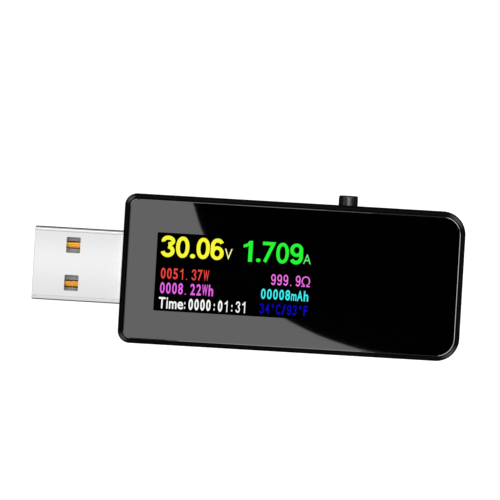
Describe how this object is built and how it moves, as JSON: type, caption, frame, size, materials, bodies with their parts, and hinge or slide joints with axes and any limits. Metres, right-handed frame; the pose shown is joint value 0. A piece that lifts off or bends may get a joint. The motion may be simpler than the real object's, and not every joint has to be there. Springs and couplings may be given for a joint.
{
  "type": "usb power meter",
  "caption": "Inline USB power meter: flat rectangular case with a USB-A plug at one end, a USB-A socket at the other, a colour display behind a clear front and a side push button.",
  "frame": {"origin": "middle of the case's flat back face, on which the meter lies", "axes": "+X from the plug to the socket, +Y towards the side button, +Z out of the display"},
  "size_m": [0.0704, 0.0261, 0.0125],
  "materials": {
    "case_plastic": "moulded, satin to gloss",
    "lens_acrylic": "clear, polished",
    "light_guide_acrylic": "clear with a dotted back",
    "adhesive": "matt black film",
    "polariser_film": "anti-glare film",
    "display_glass": "polished",
    "flex_film": "amber polyimide",
    "white_plastic": "moulded",
    "foam": "closed-cell foam",
    "board_laminate": "solder mask",
    "chip_package": "moulded epoxy",
    "capacitor_ceramic": "fired",
    "ferrite": "pressed and coated",
    "connector_steel": "bright nickel plate",
    "insulator_plastic": "moulded",
    "contact_metal": "gold flash over copper alloy",
    "spring_steel": "stamped",
    "button_plastic": "moulded"
  },
  "bodies": {
    "meter": {"backlight_frame": "white_plastic", "backlight_led_1": "white_plastic", "backlight_led_2": "white_plastic", "backlight_led_3": "white_plastic", "buck_inductor": "ferrite", "buck_regulator": "chip_package", "capacitor_1": "capacitor_ceramic", "capacitor_2": "capacitor_ceramic", "capacitor_3": "capacitor_ceramic", "capacitor_4": "capacitor_ceramic", "circuit_board": "board_laminate", "crystal": "spring_steel", "display_driver_chip": "chip_package", "display_flex": "flex_film", "display_foam_tape": "foam", "flyback_diode": "chip_package", "front_lens": "lens_acrylic", "front_polariser": "polariser_film", "front_shell": "case_plastic", "input_capacitor": "capacitor_ceramic", "lcd_filter_glass": "display_glass", "lcd_tft_glass": "display_glass", "ldo_regulator": "chip_package", "lens_tape": "adhesive", "light_guide": "light_guide_acrylic", "mcu_chip": "chip_package", "memory_chip": "chip_package", "output_capacitor": "capacitor_ceramic", "plug_contact_data_minus": "contact_metal", "plug_contact_data_plus": "contact_metal", "plug_contact_ground": "contact_metal", "plug_contact_vbus": "contact_metal", "plug_insulator": "insulator_plastic", "plug_shell": "connector_steel", "rear_shell": "case_plastic", "resistor_1": "chip_package", "resistor_2": "chip_package", "resistor_3": "chip_package", "resistor_4": "chip_package", "shunt_resistor": "chip_package", "snap_dome": "spring_steel", "socket_contact_data_minus": "contact_metal", "socket_contact_data_plus": "contact_metal", "socket_contact_ground": "contact_metal", "socket_contact_vbus": "contact_metal", "socket_insulator": "insulator_plastic", "socket_shell": "connector_steel", "switch_bracket": "spring_steel", "switch_housing": "chip_package", "switch_terminal_left": "spring_steel", "switch_terminal_right": "spring_steel"},
    "push_button": {"button": "button_plastic"}
  },
  "joints": [
    {"name": "button_press", "type": "slide", "parent": "meter", "child": "push_button", "axis": [0, -1, 0], "range_m": [0, 0.00025], "stiffness_N_per_m": 2000, "deforming": ["snap_dome"]}
  ]
}
